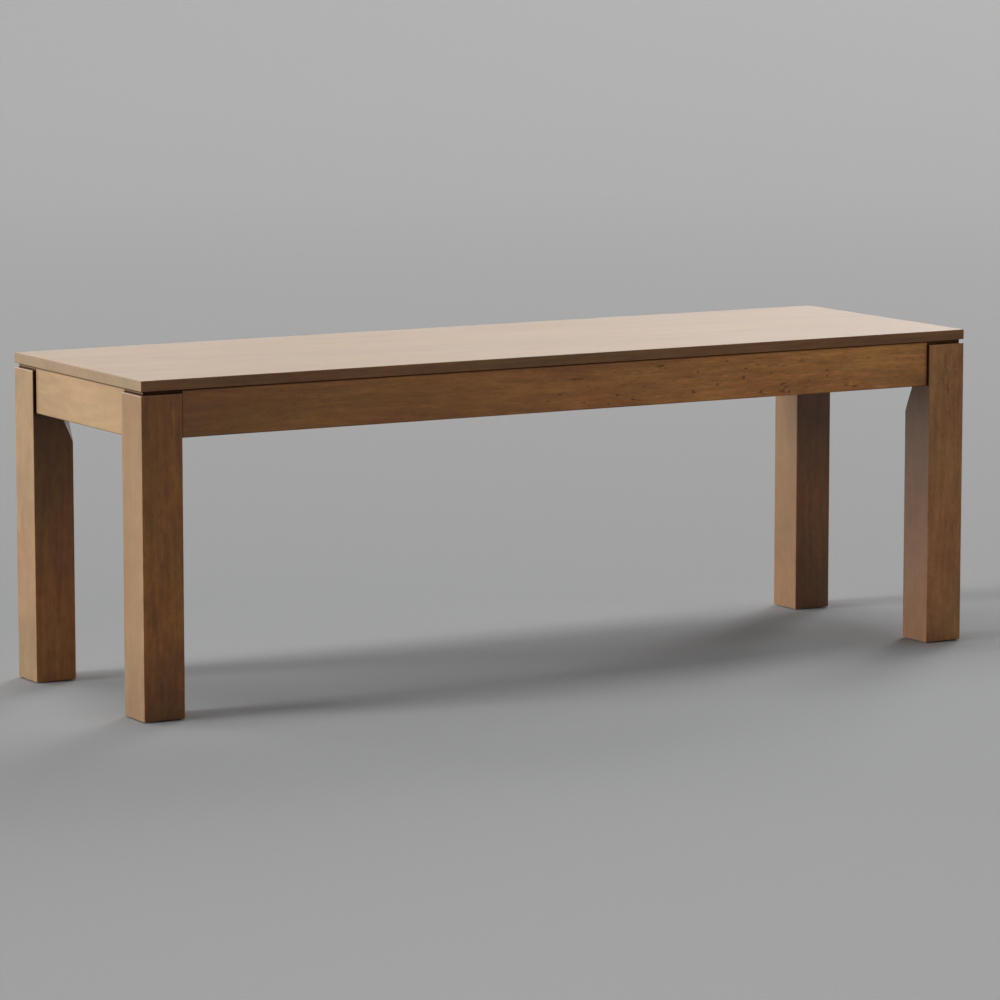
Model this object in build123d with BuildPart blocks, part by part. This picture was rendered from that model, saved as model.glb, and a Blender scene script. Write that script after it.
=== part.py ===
from build123d import *
from math import sqrt
import os

# A backless wooden bench: a thin seat, four square legs, inset aprons and the fittings that hold them.
# Millimetres, +Z up. The origin is on the floor at the bench's centre, the length runs along X
# and the front faces -Y. Each corner is made once, at the front left, and mirrored to the others.

os.makedirs("parts", exist_ok=True)

# Overall size
bench_length = 1320.0
bench_width = 405.0
bench_height = 457.0

# Seat, edge-glued from boards that run its full length
seat_thickness = 14.3
seat_board_count = 4
seat_edge_radius = 1.0

# Legs, flush with the seat's edges, with a shadow gap round the outer faces of their tops
leg_side = 60.3
leg_edge_radius = 1.2
leg_end_bevel_share = 0.6
reveal_height = 5.5

# Inner corner of a leg, cut at 45 degrees and running out below the aprons
leg_chamfer = 25.0
leg_chamfer_runout = 54.0
leg_chamfer_drop = 42.6

# Aprons, set back from the legs' outer faces and in line with the legs' tongues
apron_height = 65.1
apron_thickness = 20.0
apron_inset = 5.0
apron_edge_radius = 1.5

# Cross rails under the seat, with a stub tenon at each end
rail_width = 50.0
rail_thickness = 20.0
rail_edge_radius = 1.5
tenon_width = 34.0
tenon_thickness = 12.0
tenon_length = 10.0

# Corner blocks, across each corner behind the aprons
block_thickness = 22.0
block_height = 50.0
block_gap = 3.0
block_edge_radius = 1.0

# Leg bolts, two at each corner, each with a spring washer and a flat washer
bolt_radius = 4.0
bolt_spacing = 24.0
bolt_hole_play = 0.6
bolt_bite = 16.0
bolt_tip_bevel = 0.8
bolt_head_radius = 7.0
bolt_head_height = 4.4
bolt_head_dome = 3.0
bolt_socket_across = 5.0
bolt_socket_depth = 2.6
washer_radius = 9.0
washer_thickness = 1.6
washer_play = 0.2
spring_washer_radius = 7.4
spring_washer_thickness = 2.0
spring_washer_slit = 1.2

# Threaded inserts in the legs' cut corners
insert_radius = 6.0
insert_length = 18.0
insert_flange_radius = 7.8
insert_flange_thickness = 1.2

# Pan-head wood screws
screw_radius = 2.0
screw_tip_length = 4.0
screw_head_radius = 4.0
screw_head_height = 2.4
screw_head_rim = 0.8
screw_recess_length = 4.4
screw_recess_width = 1.0
screw_recess_depth = 1.4
screw_head_play = 0.4
screw_bite_share = 0.7
block_screw_spacing = 30.0
block_seat_screw_offset = 25.0
block_seat_screw_grip = 24.0
rail_screw_sink = 4.0

# Glides, nailed up into the legs
glide_radius = 15.0
glide_thickness = 1.6
glide_edge_bevel = 0.5
glide_stem_radius = 2.5
glide_stem_length = 14.0

# Clearance round whatever sits in a bore or a mortise, and one overrun for all cuts
fit = 0.05
overrun = 2.0

# Heights
seat_underside = bench_height - seat_thickness
shoulder_height = seat_underside - reveal_height
apron_bottom = seat_underside - apron_height
block_bottom = seat_underside - block_height
block_middle = seat_underside - block_height / 2
leg_bottom = glide_thickness
chamfer_bottom = apron_bottom - leg_chamfer_drop

# Plan
half_length = bench_length / 2
half_width = bench_width / 2
apron_back = apron_inset + apron_thickness
clear_width = bench_width - 2 * apron_back
board_width = bench_width / seat_board_count
board_places = [board_width * (index - (seat_board_count - 1) / 2) for index in range(seat_board_count)]
rail_spacing = (half_length - leg_side) / 2
rail_places = {"left": -rail_spacing, "middle": 0, "right": rail_spacing}

# Distances along a corner's diagonal, from the leg's outer corner inwards
root_two = sqrt(2)
leg_diagonal = leg_side * root_two
chamfer_at = leg_diagonal - leg_chamfer / root_two
block_front_at = chamfer_at + block_gap
block_rear_at = block_front_at + block_thickness
block_middle_at = block_front_at + block_thickness / 2
spring_washer_at = block_rear_at + washer_thickness
bolt_head_at = spring_washer_at + spring_washer_thickness

# Planes at the front left corner: the floor at the leg's outer corner, the plane that faces
# along the diagonal, and the upright plane that holds the diagonal
corner = Plane(origin=(-half_length, -half_width, 0))
across_diagonal = Plane(origin=(-half_length, -half_width, block_middle), x_dir=(0, 0, 1), z_dir=(1, 1, 0))
along_diagonal = Plane(origin=(-half_length, -half_width, 0), x_dir=(1, 1, 0), z_dir=(1, -1, 0))

# Screws through the corner block into both aprons: one plane at each head's seat, facing out of the hole
apron_bite = apron_thickness * screw_bite_share
block_screw_grip = block_thickness / root_two - screw_head_radius - screw_head_height
block_screw_along = block_middle_at * root_two - apron_back
block_screw_across = apron_back + block_screw_grip
block_screw_planes = []
for block_screw_height in (block_middle - block_screw_spacing / 2, block_middle + block_screw_spacing / 2):
    front_seat = (block_screw_along - half_length, block_screw_across - half_width, block_screw_height)
    end_seat = (block_screw_across - half_length, block_screw_along - half_width, block_screw_height)
    block_screw_planes.append(Plane(origin=front_seat, x_dir=(1, 0, 0), z_dir=(0, 1, 0)))
    block_screw_planes.append(Plane(origin=end_seat, x_dir=(0, 1, 0), z_dir=(1, 0, 0)))

# Screws up through the corner blocks and the cross rails into the seat, with planes facing down
seat_bite = seat_thickness * screw_bite_share
rail_screw_grip = rail_thickness - rail_screw_sink
block_seat_screw_planes = []
for side in (-1, 1):
    from_end = (block_middle_at + side * block_seat_screw_offset) / root_two
    from_front = (block_middle_at - side * block_seat_screw_offset) / root_two
    screw_seat = (from_end - half_length, from_front - half_width, seat_underside - block_seat_screw_grip)
    block_seat_screw_planes.append(Plane(origin=screw_seat, z_dir=(0, 0, -1)))
rail_screw_planes = []
for rail_place in rail_places.values():
    for board_place in board_places:
        screw_seat = (rail_place, board_place, seat_underside - rail_screw_grip)
        rail_screw_planes.append(Plane(origin=screw_seat, z_dir=(0, 0, -1)))

mirror_planes = {
    "front_left": [],
    "front_right": [Plane.YZ],
    "back_left": [Plane.XZ],
    "back_right": [Plane.YZ, Plane.XZ],
}


def finish(piece, name):
    """Names a finished piece and writes it to its own file."""
    piece.part.label = name
    export_step(piece.part, f"parts/{name}.step")


def mirrored(piece, plane):
    """A piece's mirror image."""
    with BuildPart() as image:
        mirror(piece.part, about=plane)
    return image


def finish_at_corners(piece, name):
    """Writes the front left corner's piece and its copies at the other three corners."""
    for place, planes in mirror_planes.items():
        copy = piece
        for plane in planes:
            copy = mirrored(copy, plane)
        finish(copy, f"{place}_{name}")


def at_every_corner(piece):
    """The front left corner's pieces and their copies at the other three corners, as one group."""
    with BuildPart() as group:
        add(piece.part)
        mirror(about=Plane.YZ)
        mirror(about=Plane.XZ)
    return group


def wood_screw(length):
    """A pan-head screw that stands head up, with its head's seat at zero."""
    with BuildPart() as screw:
        with BuildSketch(Plane.XZ):
            with BuildLine():
                shank = Polyline(
                    (0, -length),
                    (screw_radius, screw_tip_length - length),
                    (screw_radius, 0),
                    (screw_head_radius, 0),
                    (screw_head_radius, screw_head_rim),
                )
                dome_height = screw_head_height - screw_head_rim
                dome = EllipticalCenterArc((0, screw_head_rim), screw_head_radius, dome_height, arc_size=90)
                Line(dome @ 1, shank @ 0)
            make_face()
        revolve(axis=Axis.Z)
        with BuildSketch(Plane.XY.offset(screw_head_height)):
            Rectangle(screw_recess_length, screw_recess_width)
            Rectangle(screw_recess_width, screw_recess_length)
        extrude(amount=-screw_recess_depth, mode=Mode.SUBTRACT)
    return screw


# Seat: one slab with eased edges, drilled from below and then divided into its boards
with BuildPart() as seat:
    with BuildSketch(Plane.XY.offset(seat_underside)):
        Rectangle(bench_length, bench_width)
    extrude(amount=seat_thickness)
    fillet(seat.edges(), seat_edge_radius)
    with Locations(*rail_screw_planes):
        Hole(screw_radius + fit, depth=rail_screw_grip + seat_bite + fit)
with BuildPart() as corner_pilots:
    with Locations(*block_seat_screw_planes):
        Cylinder(screw_radius + fit, 2 * (block_seat_screw_grip + seat_bite + fit))
with BuildPart() as drilled_seat:
    add(seat.part)
    add(at_every_corner(corner_pilots).part, mode=Mode.SUBTRACT)
for number, board_place in enumerate(board_places, start=1):
    with BuildPart() as board:
        add(drilled_seat.part)
        with BuildSketch(Plane.XY.offset(seat_underside)):
            with Locations((0, board_place)):
                Rectangle(bench_length, board_width)
        extrude(amount=seat_thickness, mode=Mode.INTERSECT)
    finish(board, f"seat_board_{number}")

# Leg: a square post to its shoulder, a tongue that carries the seat, and the cut inner corner
leg_end_bevel = leg_edge_radius * leg_end_bevel_share
tongue_side = leg_side - apron_inset
with BuildPart() as leg:
    with BuildSketch(corner.offset(leg_bottom)):
        with Locations((leg_side / 2, leg_side / 2)):
            RectangleRounded(leg_side, leg_side, leg_edge_radius)
    extrude(amount=shoulder_height - leg_bottom)
    fillet(leg.faces().sort_by(Axis.Z)[-1].edges(), leg_end_bevel)
    chamfer(leg.faces().sort_by(Axis.Z)[0].edges(), leg_end_bevel)
    with BuildSketch(corner.offset(shoulder_height - leg_edge_radius)):
        with Locations((apron_inset + tongue_side / 2, apron_inset + tongue_side / 2)):
            Rectangle(tongue_side, tongue_side)
    extrude(amount=reveal_height + leg_edge_radius)
    with BuildSketch(along_diagonal):
        with BuildLine():
            Polyline(
                (leg_diagonal, chamfer_bottom),
                (chamfer_at, chamfer_bottom + leg_chamfer_runout),
                (chamfer_at, seat_underside + overrun),
                (leg_diagonal + overrun, seat_underside + overrun),
                (leg_diagonal + overrun, chamfer_bottom),
                close=True,
            )
        make_face()
    extrude(amount=leg_side, both=True, mode=Mode.SUBTRACT)
    with BuildSketch(across_diagonal.offset(chamfer_at)):
        with GridLocations(bolt_spacing, 0, 2, 1):
            Circle(insert_radius + fit)
    extrude(amount=-insert_length - fit, mode=Mode.SUBTRACT)
    with BuildSketch(corner.offset(leg_bottom)):
        with Locations((leg_side / 2, leg_side / 2)):
            Circle(glide_stem_radius + fit)
    extrude(amount=glide_stem_length + fit, mode=Mode.SUBTRACT)
finish_at_corners(leg, "leg")

# Glide: a flat button with a stem up the middle of the leg
with BuildPart() as glide:
    with BuildSketch(corner):
        with Locations((leg_side / 2, leg_side / 2)):
            Circle(glide_radius)
    extrude(amount=glide_thickness)
    chamfer(glide.faces().sort_by(Axis.Z)[0].edges(), glide_edge_bevel)
    with BuildSketch(corner.offset(glide_thickness)):
        with Locations((leg_side / 2, leg_side / 2)):
            Circle(glide_stem_radius)
    extrude(amount=glide_stem_length)
finish_at_corners(glide, "glide")

# Long aprons, with mortises for the cross rails and pilot holes for the blocks' screws
with BuildPart() as front_apron:
    with BuildSketch(Plane.XY.offset(apron_bottom)):
        with Locations((0, apron_back - apron_thickness / 2 - half_width)):
            Rectangle(bench_length - 2 * leg_side, apron_thickness)
    extrude(amount=apron_height)
    outer_edges = front_apron.faces().sort_by(Axis.Y)[0].edges()
    inner_bottom_edge = front_apron.faces().sort_by(Axis.Z)[0].edges().sort_by(Axis.Y)[-1]
    fillet(outer_edges + [inner_bottom_edge], apron_edge_radius)
    mortise_places = [(rail_place, seat_underside - rail_thickness / 2) for rail_place in rail_places.values()]
    with BuildSketch(Plane.XZ.offset(half_width - apron_back)):
        with Locations(*mortise_places):
            Rectangle(tenon_width + 2 * fit, tenon_thickness + 2 * fit)
    extrude(amount=tenon_length + fit, mode=Mode.SUBTRACT)
    with BuildSketch(Plane.XZ.offset(half_width - apron_back)):
        with Locations((0, block_middle)):
            with GridLocations(2 * (half_length - block_screw_along), block_screw_spacing, 2, 2):
                Circle(screw_radius + fit)
    extrude(amount=apron_bite + fit, mode=Mode.SUBTRACT)
finish(front_apron, "front_apron")
finish(mirrored(front_apron, Plane.XZ), "back_apron")

# End aprons, with pilot holes for the blocks' screws
with BuildPart() as left_apron:
    with BuildSketch(Plane.XY.offset(apron_bottom)):
        with Locations((apron_back - apron_thickness / 2 - half_length, 0)):
            Rectangle(apron_thickness, bench_width - 2 * leg_side)
    extrude(amount=apron_height)
    outer_edges = left_apron.faces().sort_by(Axis.X)[0].edges()
    inner_bottom_edge = left_apron.faces().sort_by(Axis.Z)[0].edges().sort_by(Axis.X)[-1]
    fillet(outer_edges + [inner_bottom_edge], apron_edge_radius)
    with BuildSketch(Plane.YZ.offset(apron_back - half_length)):
        with Locations((0, block_middle)):
            with GridLocations(2 * (half_width - block_screw_along), block_screw_spacing, 2, 2):
                Circle(screw_radius + fit)
    extrude(amount=-apron_bite - fit, mode=Mode.SUBTRACT)
finish(left_apron, "left_apron")
finish(mirrored(left_apron, Plane.YZ), "right_apron")

# Cross rails: the seat lies on them and is screwed down through them
for place, rail_place in rail_places.items():
    with BuildPart() as rail:
        with BuildSketch(Plane.XY.offset(seat_underside - rail_thickness)):
            with Locations((rail_place, 0)):
                Rectangle(rail_width, clear_width)
        extrude(amount=rail_thickness)
        lower_edges = rail.faces().sort_by(Axis.Z)[0].edges().filter_by(Axis.Y)
        fillet(lower_edges, rail_edge_radius)
        with BuildSketch(Plane.XY.offset(seat_underside - (rail_thickness + tenon_thickness) / 2)):
            with Locations((rail_place, 0)):
                Rectangle(tenon_width, clear_width + 2 * tenon_length)
        extrude(amount=tenon_thickness)
        with Locations(*rail_screw_planes):
            Hole(screw_radius + fit, depth=rail_screw_grip)
            Cylinder(
                screw_head_radius + screw_head_play,
                rail_screw_sink,
                align=(Align.CENTER, Align.CENTER, Align.MIN),
                mode=Mode.SUBTRACT,
            )
    finish(rail, f"{place}_cross_rail")

# Corner block: mitred to both aprons, clear of the leg's cut corner
block_front_reach = block_front_at * root_two - apron_back
block_rear_reach = block_rear_at * root_two - apron_back
block_hole_depth = block_height + block_thickness
with BuildPart() as block:
    with BuildSketch(corner.offset(block_bottom)):
        with BuildLine():
            Polyline(
                (block_front_reach, apron_back),
                (block_rear_reach, apron_back),
                (apron_back, block_rear_reach),
                (apron_back, block_front_reach),
                close=True,
            )
        make_face()
    extrude(amount=block_height)
    lower_edges = block.faces().sort_by(Axis.Z)[0].edges().sort_by(SortBy.LENGTH)[-2:]
    fillet(lower_edges, block_edge_radius)
    with BuildSketch(across_diagonal.offset(block_front_at)):
        with GridLocations(bolt_spacing, 0, 2, 1):
            Circle(bolt_radius + bolt_hole_play)
    extrude(amount=block_thickness, mode=Mode.SUBTRACT)
    with Locations(*block_screw_planes, *block_seat_screw_planes):
        Hole(screw_radius + fit, depth=block_hole_depth)
        Cylinder(
            screw_head_radius + screw_head_play,
            block_hole_depth,
            align=(Align.CENTER, Align.CENTER, Align.MIN),
            mode=Mode.SUBTRACT,
        )
finish_at_corners(block, "corner_block")

# Threaded inserts: a flanged sleeve under each bolt
with BuildPart() as inserts:
    with BuildSketch(across_diagonal.offset(chamfer_at)):
        with GridLocations(bolt_spacing, 0, 2, 1):
            Circle(insert_flange_radius)
            Circle(bolt_radius + fit, mode=Mode.SUBTRACT)
    extrude(amount=insert_flange_thickness)
    with BuildSketch(across_diagonal.offset(chamfer_at)):
        with GridLocations(bolt_spacing, 0, 2, 1):
            Circle(insert_radius)
            Circle(bolt_radius + fit, mode=Mode.SUBTRACT)
    extrude(amount=-insert_length)
finish(at_every_corner(inserts), "leg_inserts")

# Flat washers on the blocks
with BuildPart() as washers:
    with BuildSketch(across_diagonal.offset(block_rear_at)):
        with GridLocations(bolt_spacing, 0, 2, 1):
            Circle(washer_radius)
            Circle(bolt_radius + washer_play, mode=Mode.SUBTRACT)
    extrude(amount=washer_thickness)
finish(at_every_corner(washers), "leg_bolt_washers")

# Spring washers, slit at the side
with BuildPart() as spring_washers:
    with BuildSketch(across_diagonal.offset(spring_washer_at)):
        with GridLocations(bolt_spacing, 0, 2, 1):
            Circle(spring_washer_radius)
            Circle(bolt_radius + washer_play, mode=Mode.SUBTRACT)
            with Locations((0, spring_washer_radius)):
                Rectangle(spring_washer_slit, 2 * spring_washer_radius, mode=Mode.SUBTRACT)
    extrude(amount=spring_washer_thickness)
finish(at_every_corner(spring_washers), "leg_bolt_spring_washers")

# Leg bolts: domed heads with hexagon sockets
bolt_length = bolt_head_at - chamfer_at + bolt_bite
with BuildPart() as bolt:
    Cylinder(bolt_head_radius, bolt_head_height, align=(Align.CENTER, Align.CENTER, Align.MIN))
    fillet(bolt.faces().sort_by(Axis.Z)[-1].edges(), bolt_head_dome)
    with BuildSketch(Plane.XY.offset(bolt_head_height)):
        RegularPolygon(bolt_socket_across / 2, side_count=6, major_radius=False)
    extrude(amount=-bolt_socket_depth, mode=Mode.SUBTRACT)
    Cylinder(bolt_radius, bolt_length, align=(Align.CENTER, Align.CENTER, Align.MAX))
    chamfer(bolt.faces().sort_by(Axis.Z)[0].edges(), bolt_tip_bevel)
with BuildPart() as bolts:
    with Locations(across_diagonal.offset(bolt_head_at)):
        with GridLocations(bolt_spacing, 0, 2, 1):
            add(bolt.part)
finish(at_every_corner(bolts), "leg_bolts")

# Screws that hold the blocks to the aprons
block_screw = wood_screw(block_screw_grip + apron_bite)
with BuildPart() as block_screws:
    with Locations(*block_screw_planes):
        add(block_screw.part)
finish(at_every_corner(block_screws), "corner_block_screws")

# Screws that hold the seat, up through the blocks and the cross rails
block_seat_screw = wood_screw(block_seat_screw_grip + seat_bite)
with BuildPart() as block_seat_screws:
    with Locations(*block_seat_screw_planes):
        add(block_seat_screw.part)
finish(at_every_corner(block_seat_screws), "corner_seat_screws")
rail_screw = wood_screw(rail_screw_grip + seat_bite)
with BuildPart() as rail_screws:
    with Locations(*rail_screw_planes):
        add(rail_screw.part)
finish(rail_screws, "rail_seat_screws")
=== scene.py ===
import math

import bmesh
import bpy
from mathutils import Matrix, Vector, noise


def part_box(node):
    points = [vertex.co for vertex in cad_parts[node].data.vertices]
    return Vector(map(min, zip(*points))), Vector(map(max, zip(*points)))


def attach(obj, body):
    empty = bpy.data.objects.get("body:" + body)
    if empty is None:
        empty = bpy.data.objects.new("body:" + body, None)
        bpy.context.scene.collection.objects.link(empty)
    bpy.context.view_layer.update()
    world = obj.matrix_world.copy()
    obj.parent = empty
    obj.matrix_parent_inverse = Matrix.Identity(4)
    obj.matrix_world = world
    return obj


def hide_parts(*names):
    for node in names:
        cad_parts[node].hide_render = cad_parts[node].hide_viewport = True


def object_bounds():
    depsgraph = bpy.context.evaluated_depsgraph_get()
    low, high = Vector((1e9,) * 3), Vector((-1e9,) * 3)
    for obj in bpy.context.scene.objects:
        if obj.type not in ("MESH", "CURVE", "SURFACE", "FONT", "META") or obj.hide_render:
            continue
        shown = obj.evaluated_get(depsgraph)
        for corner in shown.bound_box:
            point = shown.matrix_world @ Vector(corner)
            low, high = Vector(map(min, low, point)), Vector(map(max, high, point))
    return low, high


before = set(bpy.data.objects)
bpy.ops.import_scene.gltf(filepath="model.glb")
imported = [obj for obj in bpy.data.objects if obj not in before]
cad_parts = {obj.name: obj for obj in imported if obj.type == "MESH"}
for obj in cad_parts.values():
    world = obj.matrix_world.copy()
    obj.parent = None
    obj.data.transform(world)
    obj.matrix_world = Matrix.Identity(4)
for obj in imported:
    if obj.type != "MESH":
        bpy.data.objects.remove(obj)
cad_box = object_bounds()

mm = 0.001

# Sizes of the timber, in metres, with the rest taken from the frame
leg_low, leg_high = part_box("front_left_leg")
apron_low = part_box("front_apron")[0]
seat_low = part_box("seat_board_1")[0]
leg_side = leg_high.x - leg_low.x
seat_underside = seat_low.z
apron_inset = apron_low.y - leg_low.y
reveal_height = 5.5 * mm
shoulder_height = seat_underside - reveal_height
leg_chamfer = 25 * mm
chamfer_runout = 54 * mm
chamfer_bottom = apron_low.z - 42.6 * mm
leg_edge_radius = 1.2 * mm
leg_end_bevel = 0.7 * mm
inner_corner_cut = 0.8 * mm
inner_corner_radius = 0.5 * mm
seat_edge_radius = 1.0 * mm
apron_edge_radius = 1.5 * mm
sharp_radius = 0.15 * mm
hand_sanding = 0.3
sanding_wave = 45 * mm
station_spacing = 15 * mm
arc_steps = 4
smooth_angle = math.radians(40)

# Stained timber, dark, middling and light, and bare timber
stained = ((0.125, 0.050, 0.017), (0.265, 0.118, 0.046), (0.43, 0.205, 0.088))
bare = ((0.30, 0.185, 0.10), (0.46, 0.31, 0.18), (0.60, 0.44, 0.28))

# Colours that the hue sways between, and those of the pores, the painted shade of the recesses and the
# painted highlight of the leg shoulders
reddish = (1.04, 0.93, 0.90, 1)
yellowish = (0.98, 1.05, 0.98, 1)
pore_colour = (0.045, 0.019, 0.008, 1)
painted_shade_colour = (0.015, 0.005, 0.002, 1)
crest_highlight_colour = (0.60, 0.51, 0.43, 1)

# Tint of the faces towards +X, +Y and -Z, and the strength of their figure
far_tint = (0.95, 1.0, 0.94)
far_figure = 0.5

# Share of the painted shade colour in the recesses, and in the middle and at the edges of a slot's left face
painted_shade_depth = 0.8
slot_strip = 0.45
slot_edge = 0.9

# Where the painted shade of a leg's slot, and of its walls beside the aprons, fades in and out
slot_rise = (shoulder_height - 0.2 * mm, shoulder_height + 0.2 * mm)
strip_fade = (0.08 * reveal_height, 0.2 * reveal_height)
wall_side = (leg_side - 0.8 * mm, leg_side - 0.4 * mm)
wall_start = (0.9 * mm, 1.5 * mm)
wall_end = (6 * mm, 7 * mm)
wall_foot = (apron_low.z - 1 * mm, apron_low.z + 1 * mm)

# Where the painted shade of an apron fades out, below the seat, above its lower edge and inwards from its
# ends
seat_dark = (1.4 * mm, 4.0 * mm)
arris_dark = (0.8 * mm, 2.0 * mm)
arris_share = 0.45
end_dark = (0.6 * mm, 2.4 * mm)
start_fade = 2.2 * mm
front_start_depth = 3.9 * mm
other_start_depth = 2.4 * mm

# The painted highlight on the rim below a leg's shoulder: its height, and its strength off and on the lit
# left face
crest_rise = (shoulder_height - 1.6 * mm, shoulder_height - 0.5 * mm)
crest_fall = (shoulder_height - 0.1 * mm, shoulder_height + 0.1 * mm)
crest_facing = (0.4, 1.0)
crest_strength = (0.1, 0.65)

# The timber's rings, how far its figure sways, and how strongly late wood and small sways of hue act
ring_width = 5.5 * mm
slow_sway_reach = (0, 0.030, 0.030)
quick_sway_reach = (0.004, 0.003, 0.003)
late_wood_weight = -0.10
small_hue_weight = 0.4

# Marks on a face: how far they wander along it, their soft edge, and what they do to tone and pores
mark_wander = 14 * mm
mark_edge = (0.3, 0.8)
mark_tone = 0.6
mark_pore_range = (0.5, 1.5)
mark_pores = 0.45

# Worn edges, and the places where their wear fades out
wear_reach = 2.2 * mm
wear_fade = (0.4 * wear_reach, 1.3 * wear_reach)

# Roughness from fibres and pores, gloss in the open and in the painted shade of the recesses, and strength
# and depth of the bumps
fibre_roughness = 0.25
pore_roughness = 0.2
open_specular = 0.5
shaded_specular = 0.02
wood_bump = (0.35, 0.08 * mm)
metal_bump = (0.2, 0.02 * mm)
plastic_bump = (0.3, 0.05 * mm)

# How far the log's heart lies from the middle of a piece, across and through it
board_heart = (0.02, 0.14)
apron_heart = (0.12, 0.02)
leg_heart = (0.05, 0.11)
bare_heart = (0.06, 0.04)


# Meshes

def sanded(radius, along, seed):
    """An edge radius that varies a little along the piece, as sanding by hand leaves it."""
    wave = noise.noise(Vector((along / sanding_wave, seed, 0)))
    return radius * (1 + hand_sanding * wave)


def eased_section(corners, radii):
    """Points round a convex outline, counter-clockwise, with an arc at each corner."""
    points = []
    count = len(corners)
    for index, radius in enumerate(radii):
        corner = Vector(corners[index])
        before = (Vector(corners[index - 1]) - corner).normalized()
        after = (Vector(corners[(index + 1) % count]) - corner).normalized()
        half_angle = before.angle(after) / 2
        middle = (before + after).normalized()
        centre = corner + middle * radius / math.sin(half_angle)
        start = corner + before * radius / math.tan(half_angle) - centre
        turn = math.pi - 2 * half_angle
        for step in range(arc_steps + 1):
            angle = turn * step / arc_steps
            cosine, sine = math.cos(angle), math.sin(angle)
            spoke = Vector((start.x * cosine - start.y * sine, start.x * sine + start.y * cosine))
            points.append(centre + spoke)
    return points


def lofted(name, rings, node):
    """A closed piece through rings of points, standing in for a node of the frame."""
    mesh = bpy.data.meshes.new(name)
    made = bmesh.new()
    rows = [[made.verts.new(point) for point in ring] for ring in rings]
    for low, high in zip(rows, rows[1:]):
        for index in range(len(low)):
            after = (index + 1) % len(low)
            made.faces.new((low[index], low[after], high[after], high[index]))
    made.faces.new(list(reversed(rows[0])))
    made.faces.new(rows[-1])
    bmesh.ops.recalc_face_normals(made, faces=made.faces)
    for face in made.faces:
        face.smooth = True
    made.to_mesh(mesh)
    made.free()
    mesh.set_sharp_from_angle(angle=smooth_angle)
    piece = bpy.data.objects.new(name, mesh)
    bpy.context.scene.collection.objects.link(piece)
    even_shading = piece.modifiers.new("even_shading", "WEIGHTED_NORMAL")
    even_shading.keep_sharp = True
    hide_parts(node)
    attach(piece, "root")
    return piece


def stations(start, end, end_round):
    """Places along a piece, close together at its rounded ends, each with its setback from the faces."""
    rounding = []
    for step in range(arc_steps + 1):
        angle = math.pi / 2 * step / arc_steps
        rounding.append((end_round * (1 - math.sin(angle)), end_round * (1 - math.cos(angle))))
    first = [(start + depth, setback) for setback, depth in rounding]
    last = [(end - depth, setback) for setback, depth in reversed(rounding)]
    count = max(1, round((end - start) / station_spacing))
    between = [(start + (end - start) * index / count, 0) for index in range(1, count)]
    return first + between + last


def seat_board(number, board_count):
    """One board of the seat. Only the outer two have eased long edges, and all have eased ends."""
    node = f"seat_board_{number}"
    low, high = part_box(node)
    front_radius = seat_edge_radius if number == 1 else sharp_radius
    back_radius = seat_edge_radius if number == board_count else sharp_radius
    rings = []
    for along, setback in stations(low.x, high.x, seat_edge_radius):
        front = sanded(front_radius, along, number)
        back = sanded(back_radius, along, number + board_count)
        front_at = low.y + (setback if number == 1 else 0)
        back_at = high.y - (setback if number == board_count else 0)
        bottom, top = low.z + setback, high.z - setback
        corners = [(front_at, bottom), (back_at, bottom), (back_at, top), (front_at, top)]
        section = eased_section(corners, [front, back, back, front])
        rings.append([(along, point.x, point.y) for point in section])
    return lofted(f"dressed_{node}", rings, node)


def apron(side):
    """An apron with its outer face eased all round, along X at the front and back and along Y at the ends."""
    node = f"{side}_apron"
    low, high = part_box(node)
    lengthwise = side in ("front", "back")
    start, end = (low.x, high.x) if lengthwise else (low.y, high.y)
    inner, outer = (high.y, low.y) if lengthwise else (high.x, low.x)
    if side in ("back", "right"):
        inner, outer = outer, inner
    outward = 1 if outer > inner else -1
    rings = []
    for along, setback in stations(start, end, apron_edge_radius):
        upper = sanded(apron_edge_radius, along, 1)
        lower = sanded(apron_edge_radius, along, 2)
        face = outward * (outer - inner) - setback
        corners = [(0, low.z), (face, low.z), (face, high.z), (0, high.z)]
        section = eased_section(corners, [lower, lower, upper, sharp_radius])
        for point in section:
            point.x = inner + outward * point.x
        if lengthwise:
            rings.append([(along, point.x, point.y) for point in section])
        else:
            rings.append([(point.x, along, point.y) for point in section])
    return lofted(f"dressed_{node}", rings, node)


def leg_section(height, setback, inset, seed):
    """A leg's outline at one height, from its outer corner inwards, with the inner corner cut."""
    cut = leg_chamfer * (height - chamfer_bottom) / chamfer_runout
    cut = min(max(cut, inner_corner_cut), leg_chamfer)
    outer = max(setback, inset)
    near = leg_side - cut
    corners = [(outer, outer), (leg_side, outer), (leg_side, near), (near, leg_side), (outer, leg_side)]
    radii = [sanded(leg_edge_radius, height, seed + index) for index in range(5)]
    radii[2] = radii[3] = inner_corner_radius
    if inset:
        radii = [inner_corner_radius] * 5
    return eased_section(corners, radii)


def leg(corner, seed):
    """A square leg with its inner corner cut behind the aprons, and a tongue above its shoulder."""
    node = f"{corner}_leg"
    low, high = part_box(node)
    across = 1 if low.x < 0 else -1
    inward = 1 if low.y < 0 else -1
    corner_x = low.x if across > 0 else high.x
    corner_y = low.y if inward > 0 else high.y
    levels = [(height, setback, 0) for height, setback in stations(low.z, shoulder_height, leg_end_bevel)]
    for height in (chamfer_bottom, chamfer_bottom + chamfer_runout):
        levels.append((height, 0, 0))
    levels.sort(key=lambda level: (level[0], -level[1] if level[0] < chamfer_bottom else level[1]))
    levels.append((shoulder_height, 0, apron_inset))
    levels.append((high.z, 0, apron_inset))
    rings = []
    for height, setback, inset in levels:
        ring = []
        for point in leg_section(height, setback, inset, seed):
            ring.append((corner_x + across * point.x, corner_y + inward * point.y, height))
        rings.append(ring)
    return lofted(f"dressed_{node}", rings, node)


# Node graphs

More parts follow.
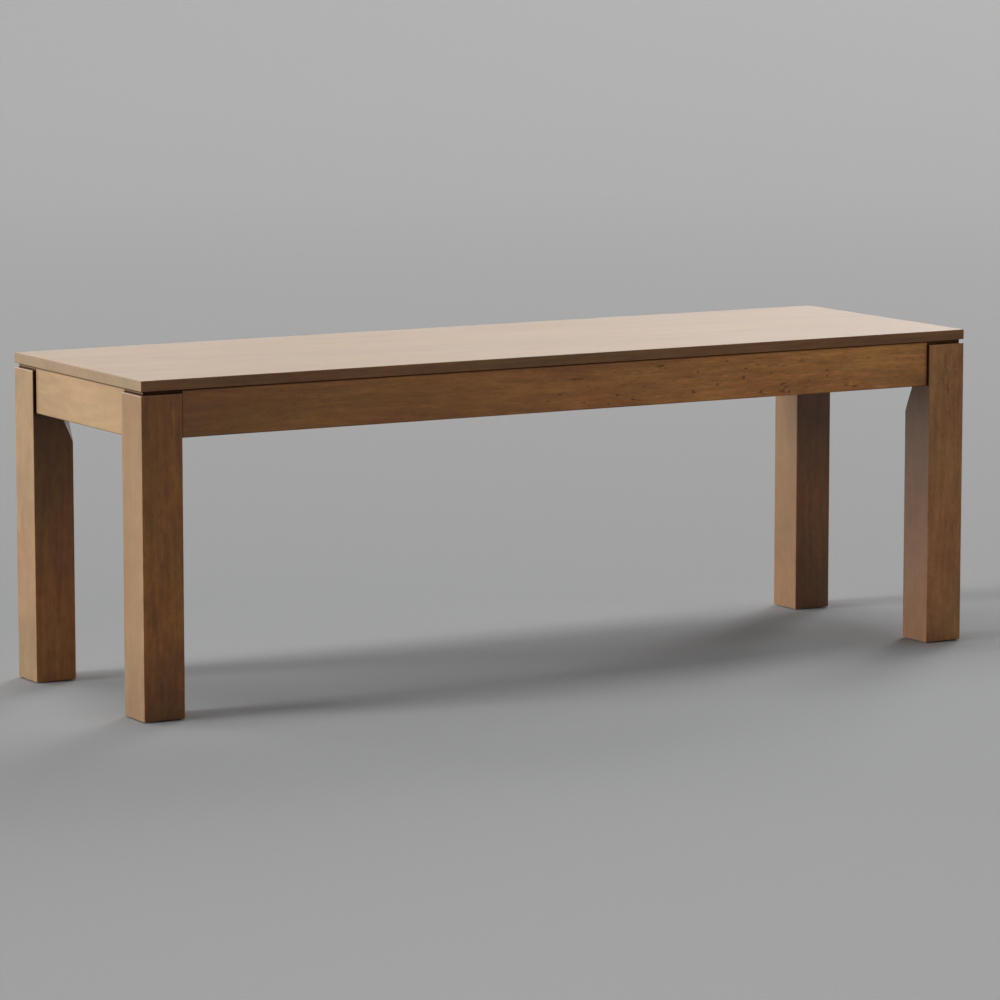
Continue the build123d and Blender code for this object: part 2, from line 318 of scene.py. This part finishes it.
class Graph:
    """Adds nodes to a node tree and joins them."""

    def __init__(self, tree):
        self.tree = tree

    def add(self, kind, inputs=(), **settings):
        """A new node. A socket among its inputs is linked, and a number or a colour is set."""
        node = self.tree.nodes.new(kind)
        for name, value in settings.items():
            setattr(node, name, value)
        for name, value in dict(inputs).items():
            self.fill(node.inputs[name], value)
        return node

    def fill(self, socket, value):
        """Links a socket to another one, or sets it to a number or a colour."""
        if isinstance(value, bpy.types.NodeSocket):
            self.tree.links.new(value, socket)
        else:
            socket.default_value = value

    def math(self, operation, *values):
        """The result of a math operation on one, two or three values."""
        return self.add("ShaderNodeMath", enumerate(values), operation=operation).outputs[0]

    def vector(self, operation, *values):
        """The vector that a vector operation gives."""
        return self.add("ShaderNodeVectorMath", enumerate(values), operation=operation).outputs[0]

    def measure(self, operation, *values):
        """The number that a vector operation gives, such as a length, a distance or a dot product."""
        node = self.add("ShaderNodeVectorMath", enumerate(values), operation=operation)
        return node.outputs["Value"]

    def split(self, vector):
        """The three parts of a vector."""
        return self.add("ShaderNodeSeparateXYZ", {0: vector}).outputs

    def scaled(self, vector, factor):
        """A vector or colour times a number."""
        node = self.add("ShaderNodeVectorMath", {0: vector, "Scale": factor}, operation="SCALE")
        return node.outputs[0]

    def noise(self, place, waves, detail, roughness=0.5):
        """Noise with a number of waves in a metre along each axis. It gives a value and a colour."""
        scaled = self.vector("MULTIPLY", place, waves)
        inputs = {"Vector": scaled, "Scale": 1.0, "Detail": detail, "Roughness": roughness}
        return self.add("ShaderNodeTexNoise", inputs).outputs

    def swing(self, place, waves, detail):
        """Noise as a value that swings about zero."""
        return self.math("SUBTRACT", self.noise(place, waves, detail)[0], 0.5)

    def sway(self, place, waves, detail, roughness=0.5):
        """Noise as a vector that swings about zero."""
        return self.vector("SUBTRACT", self.noise(place, waves, detail, roughness)[1], (0.5, 0.5, 0.5))

    def fade(self, value, low, high, start=0.0, end=1.0):
        """A value taken smoothly from one range to another, and held at its ends."""
        inputs = {"Value": value, "From Min": low, "From Max": high, "To Min": start, "To Max": end}
        return self.add("ShaderNodeMapRange", inputs, interpolation_type="SMOOTHSTEP").outputs[0]

    def slide(self, value, low, high, start, end):
        """A value taken evenly from one range to another, and held at its ends."""
        inputs = {"Value": value, "From Min": low, "From Max": high, "To Min": start, "To Max": end}
        return self.add("ShaderNodeMapRange", inputs).outputs[0]

    def blend(self, share, first, second, blend_type="MIX"):
        """Two colours mixed by a share of the second."""
        node = self.add("ShaderNodeMix", data_type="RGBA", blend_type=blend_type)
        for index, value in ((0, share), (6, first), (7, second)):
            self.fill(node.inputs[index], value)
        return node.outputs[2]

    def tinted(self, colour, tint):
        """A colour times another."""
        return self.blend(1.0, colour, tint, "MULTIPLY")

    def ramp(self, value, *stops):
        """A colour from a ramp, given as pairs of a position and a colour."""
        node = self.add("ShaderNodeValToRGB", {"Fac": value})
        elements = node.color_ramp.elements
        while len(elements) < len(stops):
            elements.new(0.5)
        for element, (position, colour) in zip(elements, stops):
            element.position = position
            element.color = (*colour, 1)
        return node.outputs[0]


def new_material(name):
    """A material with its graph and its shader."""
    material = bpy.data.materials.new(name)
    material.use_nodes = True
    material.node_tree.nodes.clear()
    graph = Graph(material.node_tree)
    shader = graph.add("ShaderNodeBsdfPrincipled")
    graph.add("ShaderNodeOutputMaterial", {"Surface": shader.outputs[0]})
    return material, graph, shader


def finish_shader(graph, shader, base, roughness, height, bump):
    """Joins colour, roughness and a height to a shader. The bump is the height's strength and depth."""
    strength, depth = bump
    bumps = graph.add("ShaderNodeBump", {"Height": height, "Strength": strength, "Distance": depth})
    graph.fill(shader.inputs["Base Color"], base)
    graph.fill(shader.inputs["Roughness"], roughness)
    graph.fill(shader.inputs["Normal"], bumps.outputs[0])


def wood_figure_group():
    """The figure of timber at a place that has x along the grain and the log's heart at y = z = 0."""
    tree = bpy.data.node_groups.new("wood_figure", "ShaderNodeTree")
    tree.interface.new_socket("Place", in_out="INPUT", socket_type="NodeSocketVector")
    for name in ("Streaks", "Blots", "Fine", "Clouds"):
        tree.interface.new_socket(name, in_out="INPUT", socket_type="NodeSocketFloat")
    for name in ("Tone", "Hue", "Pores", "Fibres"):
        tree.interface.new_socket(name, in_out="OUTPUT", socket_type="NodeSocketFloat")
    graph = Graph(tree)
    place, *weights = list(graph.add("NodeGroupInput").outputs)[:5]

    slow_sway = graph.vector("MULTIPLY", graph.sway(place, (2.2, 7, 7), 1), slow_sway_reach)
    quick_sway = graph.vector("MULTIPLY", graph.sway(place, (24, 50, 50), 2), quick_sway_reach)
    swayed = graph.vector("ADD", graph.vector("ADD", place, slow_sway), quick_sway)

    parts = graph.split(swayed)
    squares = [graph.math("MULTIPLY", parts[axis], parts[axis]) for axis in (1, 2)]
    radius = graph.math("SQRT", graph.math("ADD", *squares))
    ring = graph.math("FRACT", graph.math("DIVIDE", radius, ring_width))
    late_wood = graph.math("SUBTRACT", graph.fade(ring, 0.25, 0.9), graph.fade(ring, 0.93, 1.0))

    streaks = graph.noise(swayed, (14, 150, 150), 3, 0.5)[0]
    blots = graph.noise(swayed, (40, 100, 100), 2, 0.5)[0]
    fine = graph.noise(swayed, (90, 480, 480), 2, 0.6)[0]
    clouds = graph.noise(place, (5, 16, 16), 2)[0]
    tone = graph.math("MULTIPLY", late_wood, late_wood_weight)
    for source, weight in zip((streaks, blots, fine, clouds), weights):
        swing = graph.math("MULTIPLY", graph.math("SUBTRACT", source, 0.5), weight)
        tone = graph.math("ADD", tone, swing)

    dashes = graph.noise(swayed, (110, 800, 800), 1)[0]
    flecks = graph.noise(swayed, (190, 420, 420), 1)[0]
    rows = graph.noise(swayed, (14, 50, 50), 1)[0]
    pores = graph.math("MAXIMUM", graph.fade(dashes, 0.62, 0.78), graph.fade(flecks, 0.66, 0.82))
    pores = graph.math("MULTIPLY", pores, graph.fade(rows, 0.46, 0.66))

    wide_hue = graph.swing(place, (7, 22, 22), 1)
    small_hue = graph.swing(swayed, (45, 90, 90), 2)
    hue = graph.math("MULTIPLY_ADD", small_hue, small_hue_weight, wide_hue)
    fibres = graph.math("MULTIPLY", graph.math("ADD", streaks, fine), 0.5)
    graph.add("NodeGroupOutput", enumerate((tone, hue, pores, fibres)))
    return tree


wood_figure = wood_figure_group()

# Which of the frame's axes lie along, across and through a piece, by the axis that its grain runs along
grain_orders = {"x": (0, 1, 2), "y": (1, 0, 2), "z": (2, 0, 1)}


def edge_wear(graph, place, low, high):
    """How close a place is to an edge of the box it lies in, from 0 to 1, broken up by noise."""
    centre = (low + high) / 2
    half = (high - low) / 2
    offset = graph.vector("ABSOLUTE", graph.vector("SUBTRACT", place, centre))
    depth = graph.split(graph.vector("SUBTRACT", half, offset))
    pairs = [graph.math("MAXIMUM", depth[a], depth[b]) for a, b in ((0, 1), (0, 2), (1, 2))]
    nearest = graph.math("MINIMUM", graph.math("MINIMUM", pairs[0], pairs[1]), pairs[2])
    ragged = graph.math("MULTIPLY", graph.noise(place, (90, 90, 90), 3)[0], wear_reach)
    return graph.fade(graph.math("ADD", nearest, ragged), *wear_fade, 1.0, 0.0)


def face_shares(graph):
    """How squarely a surface faces along each axis, adding up to one, and only towards -X, -Y and +Z."""
    normal = graph.add("ShaderNodeTexCoord").outputs["Normal"]
    squares = graph.vector("MULTIPLY", normal, normal)
    towards = graph.vector("MAXIMUM", graph.vector("MULTIPLY", normal, (-1, -1, 1)), (0, 0, 0))
    shown = graph.vector("ABSOLUTE", graph.vector("MULTIPLY", towards, normal))
    return squares, shown


def painted_light_tint(graph, shares, lighting_tints, plain):
    """The painted light and shade of the -X, -Y and +Z faces, each tinted for how the light falls on it, and
    a plain tint for the rest.
    """
    total = plain
    for share, tint in zip(graph.split(shares), lighting_tints):
        total = graph.vector("ADD", total, graph.scaled(tuple(Vector(tint) - Vector(plain)), share))
    return total


def leg_painted_shade(graph, place, facing):
    """The painted shade in the slot above a leg's shoulder and on the narrow walls beside the aprons."""
    inside = graph.vector("SUBTRACT", cad_box[1], graph.vector("ABSOLUTE", place))
    depth = graph.split(inside)
    height = graph.split(place)[2]
    slot = graph.fade(height, *slot_rise)
    slot_middle = shoulder_height + reveal_height / 2
    from_middle = graph.math("ABSOLUTE", graph.math("SUBTRACT", height, slot_middle))
    strip = graph.fade(from_middle, *strip_fade, slot_strip, slot_edge)
    change = graph.math("SUBTRACT", strip, painted_shade_depth)
    slot = graph.math("MULTIPLY", slot, graph.math("MULTIPLY_ADD", change, facing["x"], painted_shade_depth))
    walls = 0.0
    for near, far in ((0, 1), (1, 0)):
        beside = graph.fade(depth[near], *wall_side)
        shallow = graph.fade(depth[far], *wall_start)
        shallow = graph.math("MULTIPLY", shallow, graph.fade(depth[far], *wall_end, 1, 0))
        walls = graph.math("MAXIMUM", walls, graph.math("MULTIPLY", beside, shallow))
    walls = graph.math("MULTIPLY", walls, graph.fade(height, *wall_foot, 0, painted_shade_depth))
    return graph.math("MAXIMUM", slot, walls)


def apron_painted_shade(axis, low, high, start_depth):
    """A function for where an apron is painted with shade: under the seat, beside the legs and at its foot.
    """

    def mask(graph, place, facing):
        parts = graph.split(place)
        under_seat = graph.fade(graph.math("SUBTRACT", seat_underside, parts[2]), *seat_dark, 1, 0)
        from_start = graph.math("SUBTRACT", parts[axis], low)
        from_end = graph.math("SUBTRACT", high, parts[axis])
        starts = graph.fade(from_start, start_depth - start_fade, start_depth, 1, 0)
        ends = graph.fade(from_end, *end_dark, 1, 0)
        shade_share = graph.math("MAXIMUM", under_seat, graph.math("MAXIMUM", starts, ends))
        lower_arris = graph.fade(graph.math("SUBTRACT", parts[2], apron_low.z), *arris_dark, arris_share, 0)
        return graph.math("MULTIPLY", graph.math("MAXIMUM", shade_share, lower_arris), painted_shade_depth)

    return mask


def marks_on_face(graph, place, marks, across, ragged):
    """How dark the marks of a long face are at a place. Each has its x and place across, sizes and depth."""
    along_only = Vector((1, 0, 0))
    across_only = Vector((0, 1, 0) if across == "y" else (0, 0, 1))
    wander = graph.sway(place, (140, 240, 240), 3, 0.6)
    wander = graph.vector("MULTIPLY", wander, (mark_wander, ragged, ragged))
    wandering = graph.vector("ADD", place, wander)
    total = 0.0
    for x, height, half_long, half_tall, depth in marks:
        centre = (along_only * x + across_only * height) * mm
        spread = (along_only / half_long + across_only / half_tall) / mm
        scaled = graph.vector("MULTIPLY", graph.vector("SUBTRACT", wandering, centre), spread)
        distance = graph.measure("LENGTH", scaled)
        total = graph.math("ADD", total, graph.fade(distance, *mark_edge, depth, 0.0))
    return total


def wood_material(
    name, node, grain, heart, colours, seed,
    gains=(), contrast=(1.0, 1.0), figure=(1.0, 1.0, 1.0), weights=(0.95, 0.65, 0.8, 1.1),
    stretch=(1, 1, 1), lighting_tints=None, hue_reach=0.25, pore_depth=0.4,
    marks=(), marks_across="z", ragged=9 * mm, painted_shade=None, crest=False, roughness=0.42, wear=0.12
):
    """Timber cut from a log whose heart lies heart away across the grain, stained or bare by its colours.

    Each of the gains has the face it is for (none means all), two places along the grain in mm, and
    the lightness at each. The contrast is at the two ends, and the figure is its strength by axis.
    """
    material, graph, shader = new_material(name)
    place = graph.add("ShaderNodeTexCoord").outputs["Object"]
    axes = graph.split(place)
    order = grain_orders[grain]
    turned = graph.add("ShaderNodeCombineXYZ", enumerate(axes[axis] for axis in order)).outputs[0]
    low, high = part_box(node)
    middle = (low + high) / 2
    shift = Vector((seed, heart[0] - middle[order[1]], heart[1] - middle[order[2]]))
    log_place = graph.vector("MULTIPLY", graph.vector("ADD", turned, shift), stretch)
    timber = graph.add("ShaderNodeGroup", node_tree=wood_figure)
    for socket, value in zip(timber.inputs, (log_place, *weights)):
        graph.fill(socket, value)
    swing, hue, pores, fibres = timber.outputs

    squares, shares = face_shares(graph)
    facing = dict(zip("xyz", graph.split(shares)))
    along = graph.math("SUBTRACT", axes[order[0]], middle[order[0]])
    half_length = (high[order[0]] - low[order[0]]) / 2
    strength = graph.fade(along, -half_length, half_length, contrast[0], contrast[1])
    strength = graph.math("MULTIPLY", strength, graph.measure("DOT_PRODUCT", squares, figure))
    if lighting_tints:
        shown = graph.measure("DOT_PRODUCT", shares, (1, 1, 1))
        strength = graph.math("MULTIPLY", strength, graph.slide(shown, 0, 1, far_figure, 1.0))
    tone = graph.math("ADD", graph.math("MULTIPLY", swing, strength), 0.5)
    pores = graph.math("MULTIPLY", pores, strength)
    if marks:
        scars = marks_on_face(graph, place, marks, marks_across, ragged)
        scars = graph.math("MULTIPLY", scars, facing["z" if marks_across == "y" else "y"])
        tone = graph.math("SUBTRACT", tone, graph.math("MULTIPLY", scars, mark_tone))
        pores = graph.math("MAXIMUM", pores, graph.fade(scars, *mark_pore_range, 0.0, mark_pores))
    dark, middling, light = colours
    base = graph.ramp(tone, (0.0, dark), (0.5, middling), (1.0, light))
    hue_share = graph.math("MULTIPLY", hue, graph.math("SQRT", strength))
    hue_share = graph.fade(hue_share, -hue_reach, hue_reach)
    base = graph.tinted(base, graph.blend(hue_share, reddish, yellowish))
    # Painted light and shade: each face is tinted for how the light falls on it
    if lighting_tints:
        base = graph.tinted(base, painted_light_tint(graph, shares, lighting_tints, far_tint))
    # Lightness along each face; on the legs it is painted shade and light
    for face, first, last, start, end in gains:
        lightness = graph.slide(axes[order[0]], first * mm, last * mm, start - 1, end - 1)
        lightness = graph.math("MULTIPLY_ADD", lightness, facing[face] if face else 1.0, 1.0)
        base = graph.scaled(base, lightness)
    base = graph.blend(graph.math("MULTIPLY", pores, pore_depth), base, pore_colour)
    worn = edge_wear(graph, place, low, high)
    base = graph.blend(graph.math("MULTIPLY", worn, wear), base, (*light, 1))
    # Painted highlight on the rim below the shoulder, strongest on the left faces where the light falls
    if crest:
        crest_highlight = graph.fade(axes[2], *crest_rise)
        crest_highlight = graph.math("MULTIPLY", crest_highlight, graph.fade(axes[2], *crest_fall, 1, 0))
        crest_highlight = graph.math("MULTIPLY", crest_highlight, graph.fade(facing["x"], *crest_facing, *crest_strength))
        base = graph.blend(crest_highlight, base, crest_highlight_colour)
    # Painted shade in the slots and corners: a dark colour and less gloss where shade falls
    if painted_shade:
        shade_share = painted_shade(graph, place, facing)
        base = graph.blend(shade_share, base, painted_shade_colour)
        specular = graph.fade(shade_share, 0, 1, open_specular, shaded_specular)
        graph.fill(shader.inputs["Specular IOR Level"], specular)

    fibre_swing = graph.math("SUBTRACT", fibres, 0.5)
    rough = graph.math("ADD", graph.math("MULTIPLY", fibre_swing, fibre_roughness), roughness)
    rough = graph.math("ADD", rough, graph.math("MULTIPLY", pores, pore_roughness))
    height = graph.math("SUBTRACT", graph.math("MULTIPLY", fibres, 0.5), pores)
    finish_shader(graph, shader, base, rough, height, wood_bump)
    return material


def metal_material(name, colour, roughness, scratch_waves):
    """Plated or turned metal with fine scratches and duller patches."""
    material, graph, shader = new_material(name)
    place = graph.add("ShaderNodeTexCoord").outputs["Object"]
    patches = graph.noise(place, (400, 400, 400), 3)[0]
    scratches = graph.noise(place, (scratch_waves, scratch_waves, scratch_waves * 8), 2)[0]
    dull = tuple(channel * 0.72 for channel in colour)
    base = graph.ramp(patches, (0.3, dull), (0.7, colour))
    rough = graph.fade(scratches, 0.3, 0.7, roughness - 0.08, roughness + 0.12)
    shader.inputs["Metallic"].default_value = 1.0
    finish_shader(graph, shader, base, rough, scratches, metal_bump)
    return material


def plastic_material(name, colour):
    """Moulded plastic with a fine spark texture and paler scuffs."""
    material, graph, shader = new_material(name)
    place = graph.add("ShaderNodeTexCoord").outputs["Object"]
    grain = graph.noise(place, (1800, 1800, 1800), 2)[0]
    scuffs = graph.noise(place, (150, 500, 300), 3)[0]
    pale = tuple(channel * 1.8 for channel in colour)
    base = graph.ramp(scuffs, (0.4, colour), (0.75, pale))
    rough = graph.fade(scuffs, 0.35, 0.7, 0.45, 0.65)
    finish_shader(graph, shader, base, rough, grain, plastic_bump)
    return material


def dress(piece, material):
    """Gives a piece one material all over."""
    piece.data.materials.clear()
    piece.data.materials.append(material)


# Seat: its boards, whose hearts lie to one side and the other in turn, and a dark streak in one of them
board_lighting_tints = ((0.90, 1.34, 1.82), (0.97, 0.93, 0.69), (1.11, 1.39, 1.31))
board_gains = (("z", 0, 620, 1.0, 0.95), ("y", -560, 600, 0.84, 1.12))
board_marks = {3: ((-505, 41, 60, 3, 0.9),)}
board_count = len([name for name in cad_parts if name.startswith("seat_board_")])
for number in range(1, board_count + 1):
    piece = seat_board(number, board_count)
    heart = (board_heart[0] * (-1) ** number, board_heart[1])
    dress(piece, wood_material(
        f"stained_board_{number}", f"seat_board_{number}", "x", heart, stained, 7 * number,
        gains=board_gains, figure=(0.25, 0.6, 0.25), stretch=(0.6, 1, 1), lighting_tints=board_lighting_tints,
        marks=board_marks.get(number, ()), marks_across="y", ragged=2 * mm, wear=0.05
    ))

# Aprons: the knots and specks of the front one, with x, height, half length, half height and depth
front_marks = (
    (284, 407, 6, 3, 0.9), (290, 403, 4, 2, 0.9), (303, 379, 8, 2, 1.0), (314, 386, 5, 4, 1.1),
    (318, 382, 4, 2, 1.0), (349, 395, 9, 3, 0.9), (356, 391, 7, 2, 0.8), (350, 385, 7, 3, 1.0),
    (360, 383, 6, 2, 0.9), (426, 410, 4, 3, 0.9), (424, 402, 3, 4, 0.8), (458, 386, 7, 2, 0.9),
    (472, 385, 8, 2, 0.9), (466, 390, 6, 3, -0.5), (146, 432, 8, 3, 0.9), (154, 428, 5, 2, 0.8),
    (10, 421, 18, 2, 0.7), (256, 433, 5, 2, 1.0), (287, 420, 5, 2, 0.9), (207, 420, 5, 2, 0.7),
    (-35, 392, 3, 2, 1.6), (-17, 401, 3, 2, 1.5), (20, 387, 4, 2, 1.4), (32, 403, 3, 2, 1.5),
    (60, 384, 4, 2, 1.3), (75, 395, 4, 2, 1.4), (100, 387, 5, 2, 1.5), (118, 405, 4, 2, 1.4),
    (200, 392, 5, 2, 1.3), (240, 400, 4, 2, 1.3), (495, 424, 6, 2, 0.7), (545, 421, 5, 2, 0.6),
    (547, 408, 7, 4, 0.5), (588, 420, 3, 3, 0.6), (380, 427, 10, 3, 0.6), (307, 425, 5, 2, 0.7),
    (330, 411, 4, 2, 0.8), (395, 398, 5, 2, 0.7), (505, 400, 6, 2, 0.6), (170, 410, 5, 2, 0.7),
)
apron_faces = {
    "front": {
        "gains": (
            ("", -600, -400, 1.0, 1.25), ("", -400, 60, 1.0, 1.28),
            ("", 60, 400, 1.0, 1.33), ("", 400, 600, 1.0, 0.84),
        ),
        "contrast": (0.6, 0.85), "weights": (0.85, 0.55, 0.85, 1.0), "stretch": (0.75, 1, 1),
        "lighting_tints": ((1, 1.1, 1), (1.14, 1.03, 0.61), (1, 1, 0.8)),
        "marks": front_marks, "hue_reach": 0.38, "pore_depth": 0.8,
    },
    "back": {
        "contrast": (0.6, 0.75), "lighting_tints": ((1, 1.1, 1), (1.4, 1.4, 1.1), (1, 1, 0.8)),
    },
    "left": {
        "figure": (0.3, 1, 1), "lighting_tints": ((1.2, 1.67, 2.02), (1, 1, 1), (1, 1, 1)), "hue_reach": 0.4,
    },
    "right": {
        "contrast": (0.6, 0.7), "figure": (0.8, 1, 1), "lighting_tints": ((1.15, 1.3, 1.3), (1, 1, 1), (1, 1, 1)),
    },
}
for index, side in enumerate(apron_faces):
    piece = apron(side)
    axis = 0 if side in ("front", "back") else 1
    low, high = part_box(f"{side}_apron")
    start_depth = front_start_depth if side == "front" else other_start_depth
    dress(piece, wood_material(
        f"stained_{side}_apron", f"{side}_apron", "xy"[axis], apron_heart, stained, 41 + index,
        painted_shade=apron_painted_shade(axis, low[axis], high[axis], start_depth), **apron_faces[side]
    ))

# Legs: the dark veins of the front right one, and a pale streak and a dark fleck of the front left one
veins = (
    (628, 410, 3, 26, 0.5), (633, 375, 3, 40, 0.5), (637, 345, 3, 30, 0.4), (624, 390, 2, 22, 0.4),
    (645, 400, 3, 20, 0.4), (618, 355, 2, 25, 0.3), (641, 300, 3, 16, 0.4), (611, 300, 2, 30, 0.25),
    (650, 350, 2, 25, 0.3),
)
streaks = ((-613, 408, 2.5, 20, -0.5), (-617, 425.5, 2.5, 4, 0.7))
# The legs' gains are painted shade and light along each face: darker at the foot and under the aprons
leg_faces = {
    "front_left": {
        "gains": (
            ("x", 20, 130, 0.82, 1.0), ("x", 300, 430, 1.0, 0.93),
            ("y", 10, 140, 0.58, 1.0), ("y", 150, 430, 1.22, 0.93),
        ),
        "contrast": (0.7, 0.7), "figure": (0.42, 1, 1), "weights": (1.1, 0.8, 0.6, 1.1),
        "lighting_tints": ((0.93, 1.2, 1.36), (1.21, 1.03, 0.5), (1, 1, 1)), "marks": streaks,
    },
    "front_right": {
        "gains": (("y", 30, 200, 1.34, 1.47),),
        "contrast": (0.62, 0.62), "figure": (0.5, 1, 1), "weights": (0.85, 0.75, 0.7, 1.1),
        "lighting_tints": ((0.71, 0.74, 0.76), (1.26, 1.21, 0.98), (1, 1, 1)), "marks": veins,
    },
    "back_left": {
        "gains": (
            ("x", 40, 250, 0.93, 1.1), ("x", 300, 430, 1.0, 0.94), ("y", 220, 340, 1.0, 0.58),
            ("y", 340, 380, 1.0, 0.6), ("y", 368, 376, 1.0, 0.3), ("y", 110, 230, 1.26, 1.0),
        ),
        "contrast": (0.6, 0.6), "figure": (0.65, 1, 1), "weights": (1.1, 0.8, 0.6, 1.1),
        "lighting_tints": ((0.95, 1.22, 1.46), (1.15, 1.04, 0.66), (1, 1, 1)),
    },
    "back_right": {
        "gains": (("y", 60, 170, 0.8, 1.1), ("y", 170, 290, 1.15, 0.5), ("x", 180, 300, 1.0, 0.88)),
        "contrast": (0.55, 0.55), "figure": (0.5, 1, 1),
        "lighting_tints": ((0.79, 0.91, 0.93), (0.8, 0.70, 0.46), (1, 1, 1)),
    },
}
for index, corner in enumerate(leg_faces):
    piece = leg(corner, 10 * index)
    dress(piece, wood_material(
        f"stained_{corner}_leg", f"{corner}_leg", "z", leg_heart, stained, 61 + index,
        stretch=(1.1, 0.75, 0.45), painted_shade=leg_painted_shade, crest=True, **leg_faces[corner]
    ))

# Corner blocks and cross rails of bare timber, and the fittings
bare_nodes = [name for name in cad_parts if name.endswith(("_corner_block", "_cross_rail"))]
for index, node in enumerate(bare_nodes):
    grain = "z" if node.endswith("_corner_block") else "y"
    bare_timber = wood_material(f"bare_{node}", node, grain, bare_heart, bare, 81 + index, roughness=0.6)
    dress(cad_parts[node], bare_timber)

zinc = metal_material("zinc_plate", (0.60, 0.61, 0.62), 0.32, 300)
brass = metal_material("turned_brass", (0.72, 0.53, 0.24), 0.28, 500)
plastic = plastic_material("dark_plastic", (0.03, 0.027, 0.024))
for name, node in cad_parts.items():
    if name.endswith("_glide"):
        dress(node, plastic)
    elif name == "leg_inserts":
        dress(node, brass)
    elif name.startswith(("leg_bolt", "corner_block_screws", "corner_seat_screws", "rail_seat_screws")):
        dress(node, zinc)


# Floor: one wide sheet, open from below, with painted light: paler far behind the bench and a little to the
# right
floor_half = 90.0
camera_heading = math.radians(29.9)
heading = Vector((math.sin(camera_heading), math.cos(camera_heading), 0))
rightwards = Vector((math.cos(camera_heading), -math.sin(camera_heading), 0))
ramp_start = heading * -2.0
floor_stops = (
    (0.0, 0.398), (1.3, 0.382), (2.7, 0.378), (3.7, 0.392), (5.6, 0.412), (7.7, 0.425), (10.9, 0.461),
    (16.0, 0.476), (27.0, 0.485),
)
paler_right = 0.045
gradient_half = 4.0
plain_paint = (1, 1, 1, 1)
cool_paint = (0.99, 1.005, 1.02, 1)
cool_from, cool_to = 0.4, 1.4


def floor_material():
    """Matt paint with painted light: paler with the distance from a place in front of the bench, and a little
    to the right. It is cooler round the bench.
    """
    material = bpy.data.materials.new("studio_floor")
    material.use_nodes = True
    material.node_tree.nodes.clear()
    graph = Graph(material.node_tree)
    place = graph.add("ShaderNodeTexCoord").outputs["Object"]
    reach = floor_stops[-1][0]
    share = graph.math("DIVIDE", graph.measure("DISTANCE", place, ramp_start), reach)
    colour = graph.ramp(share, *((far / reach, (grey, grey, grey)) for far, grey in floor_stops))
    rightward = graph.measure("DOT_PRODUCT", place, rightwards)
    gradient = graph.slide(rightward, -gradient_half, gradient_half, 1 - paler_right, 1 + paler_right)
    colour = graph.scaled(colour, gradient)
    cool_share = graph.fade(graph.measure("LENGTH", place), cool_from, cool_to, 1, 0)
    colour = graph.tinted(colour, graph.blend(cool_share, plain_paint, cool_paint))
    matt = graph.add("ShaderNodeBsdfDiffuse", {"Color": colour})
    clear = graph.add("ShaderNodeBsdfTransparent")
    under = graph.add("ShaderNodeNewGeometry").outputs["Backfacing"]
    both = graph.add("ShaderNodeMixShader", {0: under, 1: matt.outputs[0], 2: clear.outputs[0]})
    graph.add("ShaderNodeOutputMaterial", {"Surface": both.outputs[0]})
    return material


floor_mesh = bpy.data.meshes.new("studio_floor")
floor_made = bmesh.new()
bmesh.ops.create_grid(floor_made, x_segments=6, y_segments=6, size=floor_half)
floor_made.to_mesh(floor_mesh)
floor_made.free()
floor = bpy.data.objects.new("studio_floor", floor_mesh)
bpy.context.scene.collection.objects.link(floor)
dress(floor, floor_material())


# Light: wide soft lamps far off, each with its heading from +X towards +Y, height, width and strength
lamps = (
    ("right_strip", 38, 20, 22, 1.25),
    ("right_strip_high", 38, 38, 22, 0.25),
    ("right_glare", 44, 6, 10, 0.08),
    ("right_edge", 28, 4, 12, 0.15),
    ("back_right_low", 55, 6, 22, 0.22),
    ("back_right_high", 55, 38, 22, 0.12),
    ("back_low", 75, 6, 22, 0.20),
    ("back_left_low", 120, 6, 22, 0.60),
    ("back_left_high", 135, 60, 22, 0.27),
    ("left_low", 172, 6, 22, 3.35),
    ("left_middle", 172, 20, 22, 0.55),
    ("left_high", 172, 38, 22, 0.26),
    ("front_right_fill", 320, 20, 22, 0.21),
    ("overhead", 90, 85, 22, 0.93),
)
for name, towards, height, width, strength in lamps:
    data = bpy.data.lights.new(name, "SUN")
    data.energy = strength
    data.angle = math.radians(width)
    lamp = bpy.data.objects.new(name, data)
    turn, rise = math.radians(towards), math.radians(height)
    direction = Vector((math.cos(turn) * math.cos(rise), math.sin(turn) * math.cos(rise), math.sin(rise)))
    lamp.rotation_euler = direction.to_track_quat("Z", "Y").to_euler()
    bpy.context.scene.collection.objects.link(lamp)

# World: dim light all round, and a grey backdrop where it is seen straight or in a reflection
ambient = (0.05, 0.05, 0.05, 1)
backdrop = (0.44, 0.44, 0.44, 1)
world = bpy.data.worlds.new("studio")
world.use_nodes = True
world.node_tree.nodes.clear()
graph = Graph(world.node_tree)
paths = graph.add("ShaderNodeLightPath").outputs
seen = graph.math("ADD", paths["Is Camera Ray"], paths["Is Glossy Ray"])
seen = graph.math("MINIMUM", graph.math("ADD", seen, paths["Is Transmission Ray"]), 1.0)
sky = graph.blend(seen, ambient, backdrop)
background = graph.add("ShaderNodeBackground", {"Color": sky, "Strength": 1.0})
graph.add("ShaderNodeOutputWorld", {"Surface": background.outputs[0]})
bpy.context.scene.world = world
bpy.context.scene.view_settings.view_transform = "Standard"


# Camera: a long lens, from the front left and a little above the seat
camera_tilt = math.radians(8.03)
camera_place = Vector((-3.3205, -5.7748, 1.1684))
camera_data = bpy.data.cameras.new("photo_camera")
camera_data.lens = 169.99
camera_data.sensor_width = 36.0
camera_data.clip_end = 300.0
camera = bpy.data.objects.new("photo_camera", camera_data)
camera.location = camera_place
camera.rotation_euler = (math.pi / 2 - camera_tilt, 0, -camera_heading)
bpy.context.scene.collection.objects.link(camera)
bpy.context.scene.camera = camera
